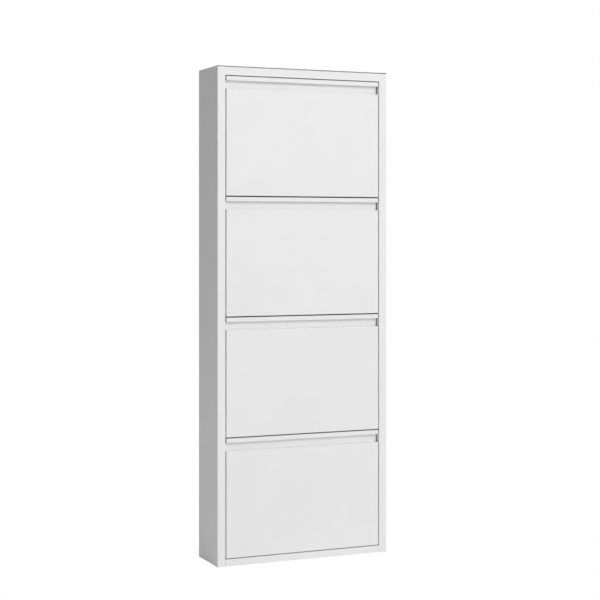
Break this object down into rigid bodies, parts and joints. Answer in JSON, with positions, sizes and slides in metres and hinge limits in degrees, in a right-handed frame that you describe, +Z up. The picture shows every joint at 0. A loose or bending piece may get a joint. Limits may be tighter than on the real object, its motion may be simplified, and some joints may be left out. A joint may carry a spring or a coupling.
{
  "type": "shoe cabinet",
  "caption": "Slim white sheet-steel shoe cabinet: a tall flat-sided box whose front is a column of flush tilt-out flaps, each with a grip bar over a recessed finger groove.",
  "frame": {"origin": "centre of the cabinet's footprint, on the floor", "axes": "+X to the right seen from the front, +Y to the back, +Z up"},
  "size_m": [0.51, 0.15, 1.36],
  "materials": {
    "white_powder_coat": "fine satin powder coat",
    "white_rivets": "satin paint over set rivets",
    "zinc_steel": "bright zinc plated",
    "magnet_plate": "matt ferrite",
    "white_plastic": "moulded nylon",
    "black_rubber": "matt"
  },
  "bodies": {
    "carcass": {"left_side_panel": "white_powder_coat", "right_side_panel": "white_powder_coat", "top_panel": "white_powder_coat", "top_rail": "white_powder_coat", "bottom_panel": "white_powder_coat", "back_panel": "white_powder_coat", "wall_rail": "white_powder_coat", "floor_pads": "black_rubber", "pivot_studs_left": "zinc_steel", "pivot_studs_right": "zinc_steel", "catch_brackets_left": "white_powder_coat", "catch_brackets_right": "white_powder_coat", "catch_housings": "white_plastic", "catch_magnets": "magnet_plate", "catch_screws": "zinc_steel", "base_rivets": "white_rivets", "top_rivets": "white_rivets", "back_rivets": "white_rivets"},
    "flap_1": {"flap_1_front": "white_powder_coat", "flap_1_cheek_left": "white_powder_coat", "flap_1_cheek_right": "white_powder_coat", "flap_1_bin": "white_powder_coat", "flap_1_bushes": "white_plastic", "flap_1_stop_studs": "zinc_steel", "flap_1_stop_sleeves": "black_rubber", "flap_1_rivets": "white_rivets"},
    "flap_2": {"flap_2_front": "white_powder_coat", "flap_2_cheek_left": "white_powder_coat", "flap_2_cheek_right": "white_powder_coat", "flap_2_bin": "white_powder_coat", "flap_2_bushes": "white_plastic", "flap_2_stop_studs": "zinc_steel", "flap_2_stop_sleeves": "black_rubber", "flap_2_rivets": "white_rivets"},
    "flap_3": {"flap_3_front": "white_powder_coat", "flap_3_cheek_left": "white_powder_coat", "flap_3_cheek_right": "white_powder_coat", "flap_3_bin": "white_powder_coat", "flap_3_bushes": "white_plastic", "flap_3_stop_studs": "zinc_steel", "flap_3_stop_sleeves": "black_rubber", "flap_3_rivets": "white_rivets"},
    "flap_4": {"flap_4_front": "white_powder_coat", "flap_4_cheek_left": "white_powder_coat", "flap_4_cheek_right": "white_powder_coat", "flap_4_bin": "white_powder_coat", "flap_4_bushes": "white_plastic", "flap_4_stop_studs": "zinc_steel", "flap_4_stop_sleeves": "black_rubber", "flap_4_rivets": "white_rivets"}
  },
  "joints": [
    {"name": "flap_1_tilt", "type": "hinge", "parent": "carcass", "child": "flap_1", "pos_m": [0, -0.067, 1.02133], "axis": [1, 0, 0], "range_deg": [0, 45]},
    {"name": "flap_2_tilt", "type": "hinge", "parent": "carcass", "child": "flap_2", "pos_m": [0, -0.067, 0.69335], "axis": [1, 0, 0], "range_deg": [0, 45]},
    {"name": "flap_3_tilt", "type": "hinge", "parent": "carcass", "child": "flap_3", "pos_m": [0, -0.067, 0.36538], "axis": [1, 0, 0], "range_deg": [0, 45]},
    {"name": "flap_4_tilt", "type": "hinge", "parent": "carcass", "child": "flap_4", "pos_m": [0, -0.067, 0.0374], "axis": [1, 0, 0], "range_deg": [0, 45]}
  ]
}
